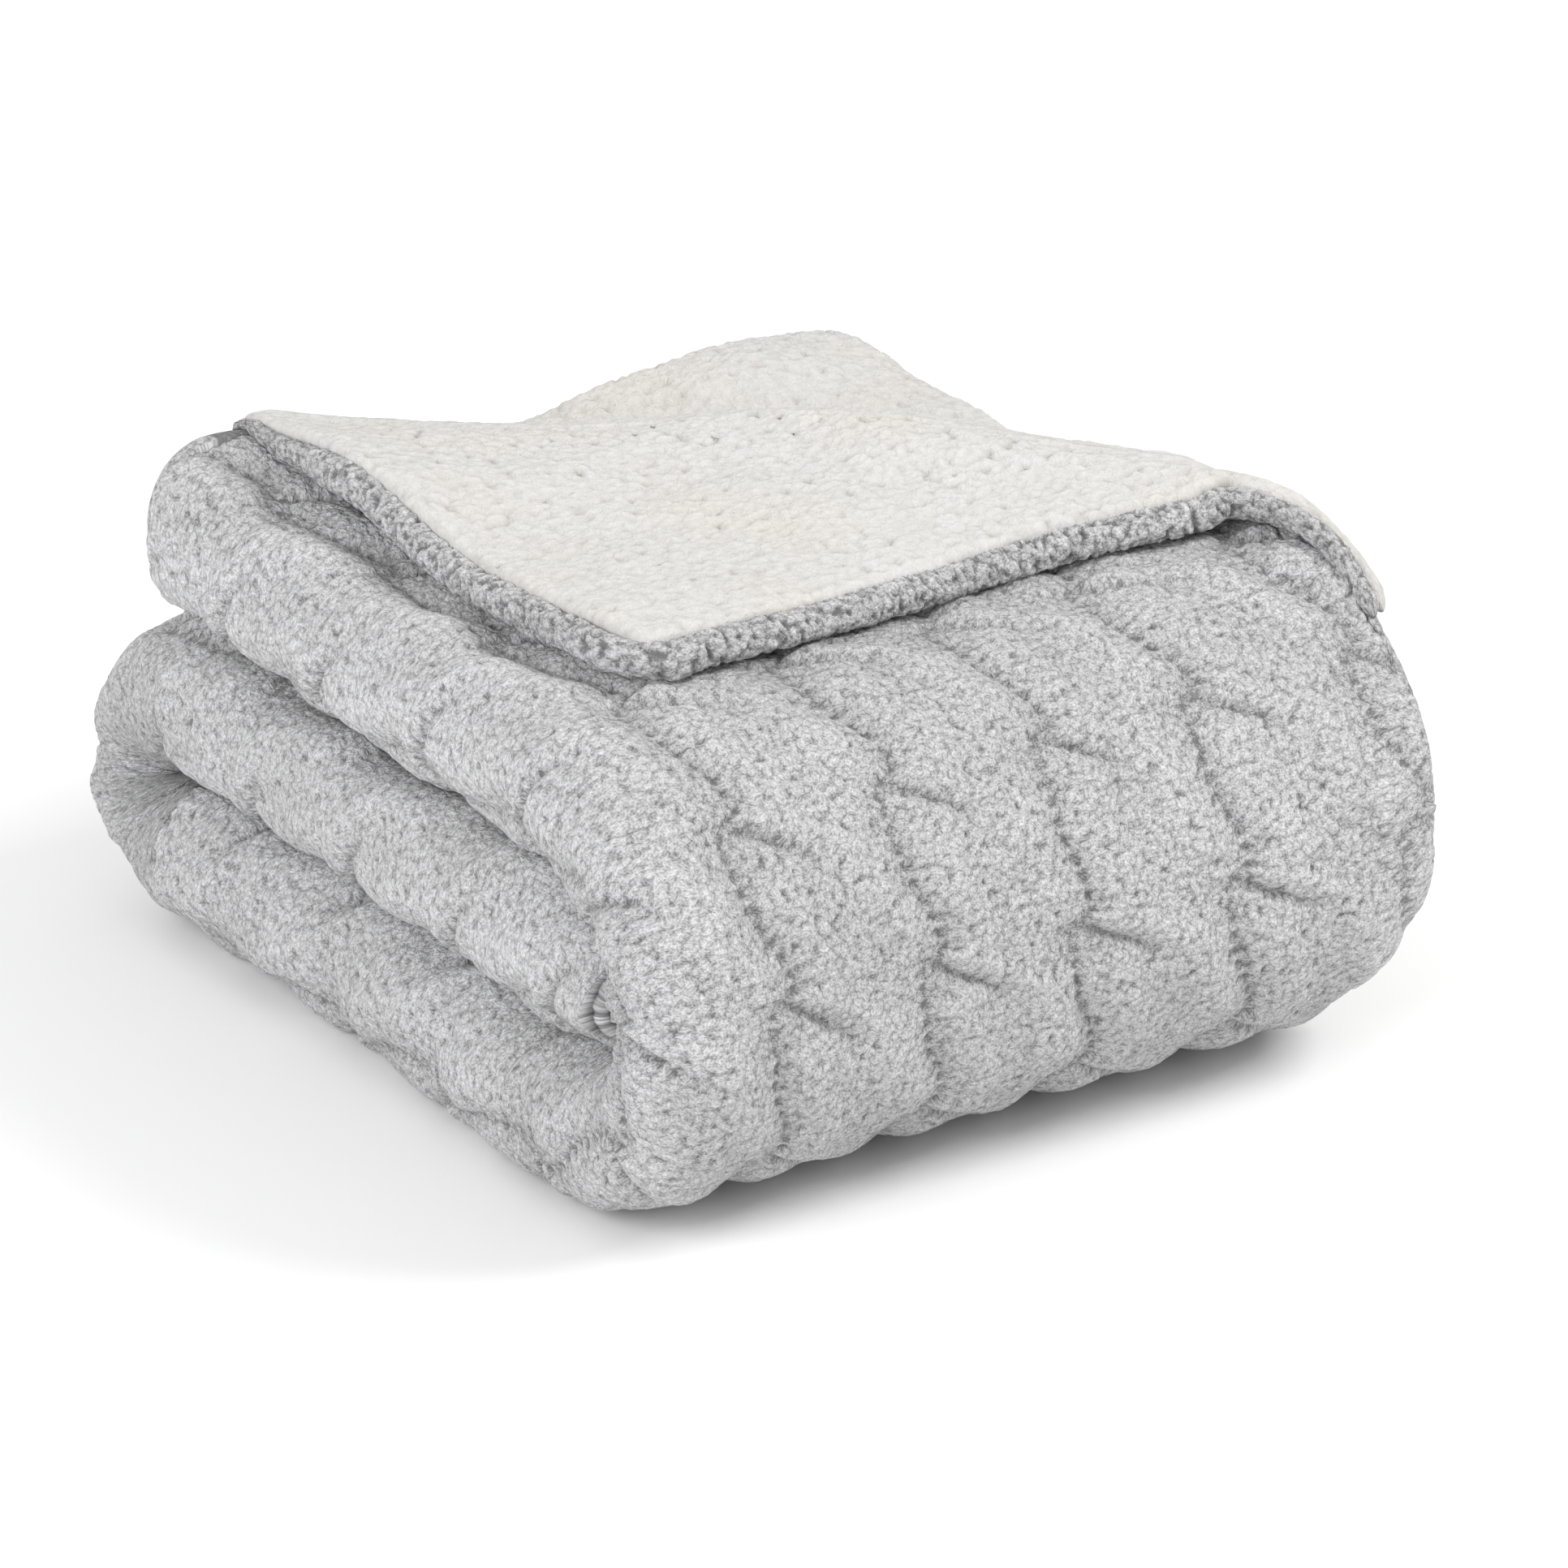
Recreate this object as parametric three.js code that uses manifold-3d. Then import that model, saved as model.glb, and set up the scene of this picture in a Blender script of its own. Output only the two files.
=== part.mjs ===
// A reversible throw blanket, folded into a tidy block with one corner turned back.
//
// The blanket is a knitted face and a sherpa back, joined at a rolled hem. It is folded twice
// across its width, which makes a strip of four plies, and the strip is then folded in thirds:
// top panel, front wrap, bottom panel, back fold and middle panel, with the middle panel's end
// tucked inside the front wrap. The uppermost ply's far corner is turned back over the top.
//
// Millimetres. +X is the side with the open hems, -Y the smooth front wrap, +Z up.
// The origin is the middle of the bottom of the folded block.

import * as THREE from 'three';
import Module from 'manifold-3d';
import { mergeVertices } from 'three/addons/utils/BufferGeometryUtils.js';

const wasm = await Module();
wasm.setup();

// The cloth
const knitThickness = 7.5;
const sherpaThickness = 10.5;
const hemWidth = 11;
const gap = 0.4;
const layerGap = 0.6;

// The folded block
const blockWidth = 396;
const blockDepth = 478;
const topPanelEnd = 186;
const wrapReach = 122;
const wrapInnerReach = 80;
const wrapSquareness = 2.4;
const backReach = 64;
const backSquareness = 2.2;
const backInnerReach = 8;
const middleEndReach = 77;

// Where the lifting top layer leaves the front wrap, as a turn from the top of the wrap
const liftTurn = THREE.MathUtils.degToRad(23.5);

// The turned-back corner: its fold runs from the end edge to the side edge, and the corner
// itself reaches a little past the plies below it
const foldStartX = -146;
const foldEndY = -112;
const cornerOverSide = 6;
const cornerOverEnd = 22;

// The care label, hanging from the side seam
const labelWidth = 32;
const labelDrop = 26;
const labelThickness = 0.8;
const labelY = 90;

// How far round the middle panel's end tapers into the wrap, as turns, and its hem's share
const middleEndTurn = THREE.MathUtils.degToRad(56);
const middleHemTurn = THREE.MathUtils.degToRad(66);

// Number of straight steps in each curve
const foldSteps = 8;
const innerFoldSteps = 4;
const wrapSteps = 10;
const liftSteps = 2;
const backSteps = 8;
const middleEndSteps = 4;

// Worked out from the sizes above
const plyPitch = knitThickness + sherpaThickness + 2 * gap;
const layerThickness = 4 * plyPitch - gap;
const layerPitch = layerThickness + layerGap;
const stackHeight = 3 * layerPitch - layerGap;
const foldX = -blockWidth / 2;
const sideX = blockWidth / 2 - labelThickness - gap;
const frontY = -blockDepth / 2;
const backY = blockDepth / 2;
const wrapY = frontY + wrapReach;
const backFoldY = backY - backReach;

const knitColour = 0xc3c5c8;
const sherpaColour = 0xefebe3;
const hemColour = 0x9a9c9f;
const labelColour = 0xf7f7f5;

const group = new THREE.Group();

function addPiece(name, geometry, color, parent = group) {
  const material = new THREE.MeshStandardMaterial({ color, roughness: 0.95, metalness: 0 });
  const mesh = new THREE.Mesh(geometry, material);
  mesh.name = name;
  parent.add(mesh);
  return mesh;
}

// Point on a quarter-rounded curve between a circle (squareness 2) and a box
function roundedTurn(angle, squareness) {
  const power = 2 / squareness;
  const c = Math.cos(angle);
  const s = Math.sin(angle);
  return [Math.sign(c) * Math.abs(c) ** power, Math.sign(s) * Math.abs(s) ** power];
}

// A station is one cross-section of the folded strip. It turns a depth below the outer face
// into a place in the Y-Z plane.
const topStation = (y) => (depth) => [y, stackHeight - depth];
const bottomStation = (y) => (depth) => [y, depth];
const middleStation = (y) => (depth) => [y, layerPitch + layerThickness - depth];

function wrapStation(turn) {
  const [out, up] = roundedTurn(Math.PI / 2 - turn, wrapSquareness);
  const half = stackHeight / 2;
  return (depth) => {
    const inward = depth / layerThickness;
    const reach = wrapReach * (1 - inward) + wrapInnerReach * inward;
    return [wrapY - reach * out, half + (half - depth) * up];
  };
}

// The middle panel's end, where its plies are squeezed together inside the wrap
function middleEndStation(turn) {
  const [out, up] = roundedTurn(Math.PI / 2 - turn, wrapSquareness);
  const half = layerThickness / 2;
  return (depth) => [wrapY - middleEndReach * out, layerPitch + half + (half - depth) * up];
}

function backStation(turn) {
  const [out, up] = roundedTurn(turn - Math.PI / 2, backSquareness);
  const half = (layerPitch + layerThickness) / 2;
  return (depth) => {
    const inward = depth / layerThickness;
    const reach = backReach * (1 - inward) + backInnerReach * inward;
    return [backFoldY + reach * out, half + (half - depth) * up];
  };
}

function turns(first, last, steps) {
  return Array.from({ length: steps + 1 }, (_, i) => first + ((last - first) * i) / steps);
}

// The strip's stations, panel by panel. The lift joint lies on the outer face at liftTurn.
const wrapTrim = gap / (stackHeight / 2 - layerThickness);
const liftingStations = [
  topStation(topPanelEnd - hemWidth - gap),
  ...turns(0, liftTurn, liftSteps).map(wrapStation),
];
const wrapStations = turns(liftTurn + wrapTrim, Math.PI, wrapSteps).map(wrapStation);
const bottomStations = [bottomStation(wrapY + gap), bottomStation(backFoldY - gap)];
const backStations = turns(0, Math.PI, backSteps).map(backStation);
const middleStations = [
  middleStation(backFoldY - gap),
  ...turns(0, middleEndTurn, middleEndSteps).map(middleEndStation),
];
const endTrim = (4 * gap) / middleEndReach;
const middleEndStations = turns(middleEndTurn + endTrim, middleHemTurn, 1).map(middleEndStation);

// The four plies across the strip's width, as a line at an offset from the seam between knit
// and sherpa, positive towards the knit. It starts at the outer ply's open edge at +X, turns
// the wide fold at -X, comes back, turns the fold at +X, goes out to the tight fold at -X and
// ends at the inner ply's open edge. Each point is [x, depth below the outer face].
function pliesLine(offset) {
  const line = [];
  const openEdge = sideX - hemWidth - gap;
  const outerCentre = 2 * plyPitch - gap / 2;
  const innerCentre = 3 * plyPitch - gap / 2;
  const seamDepth = knitThickness + gap / 2;
  const wideRadius = outerCentre - seamDepth;
  const tightRadius = wideRadius - plyPitch - sherpaThickness + knitThickness;
  const rightRadius = sherpaThickness + gap;
  const leftX = foldX + outerCentre;
  const rightX = sideX - rightRadius - knitThickness - gap / 2;

  function arc(x, depth, radius, from, to, steps) {
    for (const angle of turns(from, to, steps)) {
      line.push([x + radius * Math.cos(angle), depth - radius * Math.sin(angle)]);
    }
  }

  line.push([openEdge, seamDepth - offset]);
  arc(leftX, outerCentre, wideRadius + offset, Math.PI / 2, 1.5 * Math.PI, foldSteps);
  arc(rightX, innerCentre, rightRadius + offset, -Math.PI / 2, Math.PI / 2, innerFoldSteps);
  arc(leftX, outerCentre, tightRadius - offset, 1.5 * Math.PI, Math.PI / 2, foldSteps);
  line.push([openEdge, outerCentre - tightRadius + offset]);
  return line;
}

// A closed solid: an outline of [x, depth] carried along a row of stations. Bands that face
// each other split their four-sided faces along the same diagonal, so they never cross.
function carried(points, stations) {
  const positions = [];
  const indices = [];
  const turned = THREE.ShapeUtils.isClockWise(points.map(([x, depth]) => ({ x, y: depth })));
  const outline = turned ? [...points].reverse() : points;
  const count = outline.length;
  for (const station of stations) {
    for (const [x, depth] of outline) {
      const [y, z] = station(depth);
      positions.push(x, y, z);
    }
  }
  for (let s = 0; s < stations.length - 1; s++) {
    for (let i = 0; i < count; i++) {
      const a = s * count + i;
      const b = s * count + ((i + 1) % count);
      if (turned) {
        indices.push(a, b, a + count, b, b + count, a + count);
      } else {
        indices.push(a, b, b + count, a, b + count, a + count);
      }
    }
  }
  const flat = outline.map(([x, depth]) => new THREE.Vector2(x, depth));
  const last = (stations.length - 1) * count;
  for (const [a, b, c] of THREE.ShapeUtils.triangulateShape(flat, [])) {
    indices.push(a, c, b);
    indices.push(last + a, last + b, last + c);
  }
  const geometry = new THREE.BufferGeometry();
  geometry.setAttribute('position', new THREE.Float32BufferAttribute(positions, 3));
  geometry.setIndex(indices);
  return facesOut(geometry);
}

// Turns every face over if the solid came out inside out
function facesOut(geometry) {
  const position = geometry.getAttribute('position');
  const index = geometry.getIndex();
  const [a, b, c] = [new THREE.Vector3(), new THREE.Vector3(), new THREE.Vector3()];
  let volume = 0;
  for (let i = 0; i < index.count; i += 3) {
    a.fromBufferAttribute(position, index.getX(i));
    b.fromBufferAttribute(position, index.getX(i + 1));
    c.fromBufferAttribute(position, index.getX(i + 2));
    volume += a.dot(b.cross(c));
  }
  if (volume < 0) {
    for (let i = 0; i < index.count; i += 3) {
      const first = index.getX(i);
      index.setX(i, index.getX(i + 2));
      index.setX(i + 2, first);
    }
  }
  return geometry;
}

function bandOutline(nearOffset, farOffset) {
  return [...pliesLine(nearOffset), ...pliesLine(farOffset).reverse()];
}

const knitOutline = bandOutline(gap / 2, gap / 2 + knitThickness);
const sherpaOutline = bandOutline(-gap / 2, -gap / 2 - sherpaThickness);
const bothOutline = bandOutline(gap / 2 + knitThickness, -gap / 2 - sherpaThickness);

// A rolled hem along an open edge: a flat inner side and a rounded outer side
function hemOutline(topDepth) {
  const thickness = plyPitch - gap;
  const outline = [[sideX - hemWidth, topDepth]];
  const round = thickness / 2;
  for (const angle of turns(Math.PI / 2, -Math.PI / 2, innerFoldSteps)) {
    const out = sideX - hemWidth / 2 + (hemWidth / 2) * Math.cos(angle);
    outline.push([out, topDepth + round - round * Math.sin(angle)]);
  }
  outline.push([sideX - hemWidth, topDepth + thickness]);
  return outline;
}

const outerHemOutline = hemOutline(0);
const innerHemOutline = hemOutline(plyPitch);

function toManifold(geometry) {
  const bare = geometry.clone();
  bare.deleteAttribute('normal');
  bare.deleteAttribute('uv');
  const merged = mergeVertices(bare, 1e-4);
  return new wasm.Manifold(new wasm.Mesh({
    numProp: 3,
    vertProperties: new Float32Array(merged.getAttribute('position').array),
    triVerts: new Uint32Array(merged.getIndex().array),
  }));
}

function fromManifold(solid) {
  const mesh = solid.getMesh();
  const geometry = new THREE.BufferGeometry();
  geometry.setAttribute('position', new THREE.Float32BufferAttribute(mesh.vertProperties, 3));
  geometry.setIndex(Array.from(mesh.triVerts));
  return geometry;
}

// A flat plate: an outline in the X-Y plane between two heights
function plate(points, low, high) {
  const geometry = new THREE.ExtrudeGeometry(new THREE.Shape(points), {
    depth: high - low,
    bevelEnabled: false,
  });
  geometry.translate(0, 0, low);
  return geometry;
}

// The part of the outer ply beyond the fold line, which has been turned back
const foldStart = new THREE.Vector2(foldStartX, topPanelEnd);
const foldEnd = new THREE.Vector2(sideX, foldEndY);
const foldLine = foldEnd.clone().sub(foldStart);
const foldDirection = foldLine.clone().normalize();
const foldAway = new THREE.Vector2(-foldDirection.y, foldDirection.x);
const beyond = 600;
const turnedBack = toManifold(plate(
  [
    foldStart.clone().addScaledVector(foldDirection, -beyond).addScaledVector(foldAway, -gap),
    foldStart.clone().addScaledVector(foldDirection, 2 * beyond).addScaledVector(foldAway, -gap),
    foldStart.clone().addScaledVector(foldDirection, 2 * beyond).addScaledVector(foldAway, beyond),
    foldStart.clone().addScaledVector(foldDirection, -beyond).addScaledVector(foldAway, beyond),
  ],
  stackHeight - plyPitch + gap / 2,
  stackHeight + plyPitch,
));

function withoutTurnedBack(geometry) {
  return fromManifold(toManifold(geometry).subtract(turnedBack));
}

// Panels that stay put: front wrap, bottom panel, back fold and middle panel
const panels = {
  front_wrap: wrapStations,
  bottom_panel: bottomStations,
  back_fold: backStations,
  middle_panel: middleStations,
};
for (const [name, stations] of Object.entries(panels)) {
  addPiece(`${name}_knit`, carried(knitOutline, stations), knitColour);
  addPiece(`${name}_sherpa`, carried(sherpaOutline, stations), sherpaColour);
  addPiece(`${name}_outer_hem`, carried(outerHemOutline, stations), hemColour);
  addPiece(`${name}_inner_hem`, carried(innerHemOutline, stations), hemColour);
}
addPiece('middle_panel_end_hem', carried(bothOutline, middleEndStations), hemColour);

// The lifting top layer
const topEndStations = [topStation(topPanelEnd), topStation(topPanelEnd - hemWidth)];
const lifting = new THREE.Group();
group.add(lifting);
addPiece(
  'top_panel_knit',
  withoutTurnedBack(carried(knitOutline, liftingStations)),
  knitColour,
  lifting,
);
addPiece(
  'top_panel_sherpa',
  withoutTurnedBack(carried(sherpaOutline, liftingStations)),
  sherpaColour,
  lifting,
);
addPiece(
  'top_panel_outer_hem',
  withoutTurnedBack(carried(outerHemOutline, liftingStations)),
  hemColour,
  lifting,
);
addPiece('top_panel_inner_hem', carried(innerHemOutline, liftingStations), hemColour, lifting);
addPiece(
  'top_panel_end_hem',
  withoutTurnedBack(carried(bothOutline, topEndStations)),
  hemColour,
  lifting,
);

// The turned-back corner: the far corner mirrored in the fold line, sherpa side up
function turnedCorner(point) {
  const from = point.clone().sub(foldStart);
  const along = foldDirection.clone().multiplyScalar(2 * from.dot(foldDirection));
  return foldStart.clone().add(along).sub(from);
}

function meeting(a, directionA, b, directionB) {
  const between = b.clone().sub(a);
  const cross = directionA.x * directionB.y - directionA.y * directionB.x;
  const t = (between.x * directionB.y - between.y * directionB.x) / cross;
  return a.clone().addScaledVector(directionA, t);
}

function addCornerFlap(parent) {
  const tip = turnedCorner(
    new THREE.Vector2(sideX + cornerOverSide, topPanelEnd + cornerOverEnd),
  );
  const fold = foldStart.clone().addScaledVector(foldAway, -gap);
  const endLeg = tip.clone().sub(foldStart).normalize();
  const sideLeg = tip.clone().sub(foldEnd).normalize();
  const endInward = new THREE.Vector2(-endLeg.y, endLeg.x);
  const sideInward = new THREE.Vector2(sideLeg.y, -sideLeg.x);

  // The flap's outline drawn in by a distance from its two hemmed legs
  function corners(inset) {
    const endPoint = foldStart.clone().addScaledVector(endInward, inset);
    const sidePoint = foldEnd.clone().addScaledVector(sideInward, inset);
    return [
      meeting(endPoint, endLeg, fold, foldDirection),
      meeting(endPoint, endLeg, sidePoint, sideLeg),
      meeting(sidePoint, sideLeg, fold, foldDirection),
    ];
  }

  const low = stackHeight + gap;
  const seam = low + knitThickness;
  const high = low + plyPitch - gap;
  const outside = corners(0);
  const inside = corners(hemWidth);
  const cloth = corners(hemWidth + gap);
  addPiece('corner_flap_knit', plate(cloth, low, seam), knitColour, parent);
  addPiece('corner_flap_sherpa', plate(cloth, seam + gap, high), sherpaColour, parent);
  addPiece(
    'corner_flap_end_hem',
    plate([outside[0], outside[1], inside[1], inside[0]], low, high),
    hemColour,
    parent,
  );
  addPiece(
    'corner_flap_side_hem',
    plate(
      [
        outside[1].clone().addScaledVector(sideLeg, -gap),
        outside[2],
        inside[2],
        inside[1].clone().addScaledVector(sideLeg, -gap),
      ],
      low,
      high,
    ),
    hemColour,
    parent,
  );
}

const corner = new THREE.Group();
lifting.add(corner);
addCornerFlap(corner);

// A blank care label sewn into the side seam of the middle panel
const label = new THREE.BoxGeometry(labelThickness, labelWidth, labelDrop);
const labelPiece = addPiece('care_label', label, labelColour);
labelPiece.position.set(
  sideX + gap + labelThickness / 2,
  labelY,
  layerPitch + layerThickness - plyPitch - labelDrop / 2,
);

export default group;
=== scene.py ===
import math

import bpy
import numpy as np
from mathutils import Matrix, Vector


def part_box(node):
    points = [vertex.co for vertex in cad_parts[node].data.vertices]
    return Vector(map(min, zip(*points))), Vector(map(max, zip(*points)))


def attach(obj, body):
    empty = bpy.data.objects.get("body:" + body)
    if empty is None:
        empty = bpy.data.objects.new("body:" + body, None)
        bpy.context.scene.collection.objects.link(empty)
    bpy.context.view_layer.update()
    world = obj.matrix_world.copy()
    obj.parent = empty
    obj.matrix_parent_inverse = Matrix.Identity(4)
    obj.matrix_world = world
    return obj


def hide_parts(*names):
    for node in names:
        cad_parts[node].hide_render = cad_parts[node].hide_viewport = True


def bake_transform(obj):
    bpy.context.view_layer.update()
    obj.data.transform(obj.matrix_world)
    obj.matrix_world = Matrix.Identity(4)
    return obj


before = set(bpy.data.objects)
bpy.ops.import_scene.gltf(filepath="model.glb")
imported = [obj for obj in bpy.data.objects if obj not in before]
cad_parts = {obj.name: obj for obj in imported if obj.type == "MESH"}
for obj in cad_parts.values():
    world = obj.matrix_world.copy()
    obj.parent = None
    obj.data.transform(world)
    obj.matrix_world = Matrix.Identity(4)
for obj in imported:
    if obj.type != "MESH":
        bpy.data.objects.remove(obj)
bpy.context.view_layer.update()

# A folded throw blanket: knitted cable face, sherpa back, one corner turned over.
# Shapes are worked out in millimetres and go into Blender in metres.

mm = 0.001

# ---- sizes

cloth = {"knit": 7.5, "sherpa": 10.5, "hem": 11.0, "gap": 0.4, "layerGap": 0.6}
block = {"left": -198.0, "side": 196.8, "topEnd": 186.0, "wrapY": -117.0, "backY": 175.0}
wrap = {"reach": 122.0, "squareness": 2.4, "firm": 0.45, "give": 15.3, "liftTurn": math.radians(23.5)}
backFold = {"reach": 64.0, "inner": 8.0, "squareness": 2.2}
tuckedEnd = {"reach": 77.0, "turn": math.radians(56), "hemTurn": math.radians(66)}
corner = {"startX": -146.0, "endY": -112.0}

# a ply is a knit and a sherpa, a layer four plies, the stack three layers; the centres are the depths
# the wide and the tight folds turn about, and the radii are those of the seam between the cloths
plyPitch = cloth["knit"] + cloth["sherpa"] + 2 * cloth["gap"]
layer = 4 * plyPitch - cloth["gap"]
layerPitch = layer + cloth["layerGap"]
stack = 3 * layerPitch - cloth["layerGap"]
outerCentre = 2 * plyPitch - cloth["gap"] / 2
innerCentre = outerCentre + plyPitch
seamDepth = cloth["knit"] + cloth["gap"] / 2
wideRadius = outerCentre - seamDepth
tightRadius = wideRadius - plyPitch - cloth["sherpa"] + cloth["knit"]
rightRadius = cloth["sherpa"] + cloth["gap"]
leftCentre = block["left"] + outerCentre
rightCentre = block["side"] - rightRadius - cloth["knit"] - cloth["gap"] / 2
span = rightCentre - leftCentre
openEdge = block["side"] - cloth["hem"] - cloth["gap"]
hemLine = block["topEnd"] - cloth["hem"]
knitNear, knitFar = cloth["gap"] / 2, cloth["gap"] / 2 + cloth["knit"]
sherpaNear, sherpaFar = -cloth["gap"] / 2, -cloth["gap"] / 2 - cloth["sherpa"]

# ---- small mathematics


def smooth(t):
    t = np.clip(t, 0, 1)
    return t * t * (3 - 2 * t)


def bump(t, middle, width):
    return np.exp(-((t - middle) / width) ** 2)


# a repeatable number from 0 to 1 for each pair of whole numbers: large primes stir the bits
stir = {"i": 73856093, "j": 19349663, "seed": 83492791, "again": 1274126177, "kept": 0xFFFFFF}


def scattered(i, j, seed):
    n = (i.astype(np.int64) * stir["i"]) ^ (j.astype(np.int64) * stir["j"]) ^ (seed * stir["seed"])
    n = (n ^ (n >> 13)) * stir["again"]
    n = n ^ (n >> 16)
    return (n & stir["kept"]) / stir["kept"]


# scattered numbers on a square lattice, joined smoothly
def mottle(u, v, cell, seed):
    iu, iv = np.floor(u / cell), np.floor(v / cell)
    fu, fv = smooth(u / cell - iu), smooth(v / cell - iv)
    low = scattered(iu, iv, seed) * (1 - fu) + scattered(iu + 1, iv, seed) * fu
    high = scattered(iu, iv + 1, seed) * (1 - fu) + scattered(iu + 1, iv + 1, seed) * fu
    return low * (1 - fv) + high * fv


# short rounded tufts lying every way, one to a lattice cell: height 0 to 1 of the tallest. Each
# is a half round about a short line, and stands from shortest to 1.
shortest = 0.72


def tufts(u, v, cell, long, wide, seed):
    best = np.zeros(np.broadcast(u, v).shape)
    iu, iv = np.floor(u / cell), np.floor(v / cell)
    for di in (-1, 0, 1):
        for dj in (-1, 0, 1):
            ci, cj = iu + di, iv + dj
            du = u - (ci + scattered(ci, cj, seed)) * cell
            dv = v - (cj + scattered(ci, cj, seed + 1)) * cell
            way = 2 * math.pi * scattered(ci, cj, seed + 2)
            cw, sw = np.cos(way), np.sin(way)
            on = np.clip(du * cw + dv * sw, -long / 2, long / 2)
            away = (du - on * cw) ** 2 + (dv - on * sw) ** 2
            stands = shortest + 0.28 * scattered(ci, cj, seed + 3)
            best = np.maximum(best, np.sqrt(np.clip(1 - away / wide ** 2, 0, 1)) * stands)
    return best


# ---- how the strip is folded: each place turns a depth below the outer face into (y, z)


# a squared-off circle: cosine and sine, each to the power 2 over the squareness
def curved(angle, squareness):
    c, s = np.cos(angle), np.sin(angle)
    power = 2 / squareness
    return np.sign(c) * np.abs(c) ** power, np.sign(s) * np.abs(s) ** power


def atTop(y, depth):
    return y + 0 * depth, stack - depth + 0 * y


def atBottom(y, depth):
    return y + 0 * depth, depth + 0 * y


def atMiddle(y, depth):
    return y + 0 * depth, layerPitch + layer - depth + 0 * y


# The reach shrinks by a firm share of the depth. The other share levels off: it is give times one
# minus e to the minus depth over give.
def atWrap(turn, depth):
    out, up = curved(math.pi / 2 - turn, wrap["squareness"])
    drawn = wrap["firm"] * depth + (1 - wrap["firm"]) * wrap["give"] * (1 - np.exp(-depth / wrap["give"]))
    return block["wrapY"] - (wrap["reach"] - drawn) * out, stack / 2 + (stack / 2 - depth) * up


def atBack(turn, depth):
    out, up = curved(turn - math.pi / 2, backFold["squareness"])
    half = (layerPitch + layer) / 2
    reach = backFold["reach"] + (backFold["inner"] - backFold["reach"]) * depth / layer
    return block["backY"] + reach * out, half + (half - depth) * up


def atTuckedEnd(turn, depth):
    out, up = curved(math.pi / 2 - turn, wrap["squareness"])
    y = block["wrapY"] - tuckedEnd["reach"] * out + 0 * depth
    return y, layerPitch + layer / 2 + (layer / 2 - depth) * up


# a run of sections spaced evenly along the outer face, which is measured in many short pieces
measured = 600


def evenRun(place, first, last, step, start):
    fine = np.linspace(first, last, measured)
    y, z = place(fine, np.zeros(measured))
    far = np.concatenate([[0], np.cumsum(np.hypot(np.diff(y), np.diff(z)))])
    count = max(2, int(round(far[-1] / step)) + 1)
    even = np.linspace(0, far[-1], count)
    return place, np.interp(even, far, fine), even + start, far[-1]


def stationsOf(parts, step, start):
    runs, along = [], start
    for k, (place, first, last) in enumerate(parts):
        place, marks, distance, length = evenRun(place, first, last, step, along)
        runs.append((place, marks[1:] if k else marks, distance[1:] if k else distance))
        along += length
    return {"runs": runs, "along": np.concatenate([r[2] for r in runs]), "end": along}


def carried(stations, depth):
    y, z, row = [], [], 0
    for place, marks, _ in stations["runs"]:
        part = depth[row:row + len(marks)]
        a, b = place(marks[:, None], part)
        y.append(a)
        z.append(b)
        row += len(marks)
    return np.concatenate(y), np.concatenate(z)


# ---- across the strip: four plies in one line, from the outer open edge to the inner one
# q counts the seven parts of the line: ply, wide fold, ply, right fold, ply, tight fold, ply
lastPart = 6


def partOf(q):
    return np.minimum(q.astype(int), lastPart)


def pliesAcross(q, offset, edge):
    part = partOf(q)
    f = q - part
    wide, right, tight = wideRadius + offset, rightRadius + offset, tightRadius - offset
    turnLeft = math.pi / 2 + math.pi * f
    turnRight = -math.pi / 2 + math.pi * f
    turnBack = 1.5 * math.pi - math.pi * f
    # x and depth in each part
    parts = [
        (edge + (leftCentre - edge) * f, seamDepth - offset + 0 * f),
        (leftCentre + wide * np.cos(turnLeft), outerCentre - wide * np.sin(turnLeft)),
        (leftCentre + span * f + 0 * wide, outerCentre + wide + 0 * f),
        (rightCentre + right * np.cos(turnRight), innerCentre - right * np.sin(turnRight)),
        (rightCentre + (leftCentre - rightCentre) * f + 0 * wide, innerCentre - right + 0 * f),
        (leftCentre + tight * np.cos(turnBack), outerCentre - tight * np.sin(turnBack)),
        (leftCentre + (openEdge - leftCentre) * f + 0 * wide, outerCentre - tight + 0 * f)]
    return [np.select([part == k for k in range(len(parts))], choice) for choice in zip(*parts)]


bendOuter = math.pi * (wideRadius + cloth["knit"] / 2)
bendRight = math.pi * (rightRadius + cloth["knit"] / 2)
bendTight = math.pi * (tightRadius - cloth["knit"] / 2)
plyLength = block["side"] - leftCentre
acrossStarts = np.cumsum([0, plyLength, bendOuter, span, bendRight, span, bendTight, plyLength])


# the distance across the unfolded cloth, from its outer side edge
def clothAcross(q, x):
    part = partOf(q)
    f = q - part
    return np.where(part == 0, block["side"] - x, acrossStarts[part] + f * np.diff(acrossStarts)[part])


# ---- the surface of the cloth

# near and across are a rope's place at the start of its crossing and how far it crosses
cable = {"pitch": 78.0, "row": 86.0, "firstColumn": 262.0, "firstRow": 398.0, "drift": 5.0 / 86.0,
         "rope": 6.2, "ladder": 3.0, "hook": 4.6, "half": 23.0, "near": 20, "across": 38, "far": 58,
         "crossing": 0.42, "sway": 12, "swayBack": 4, "between": 0.62, "betweenWide": 20,
         "ladderHalf": 2.0, "dots": 8.6, "hookHalf": 4.0, "hookAside": 1.5}


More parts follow.
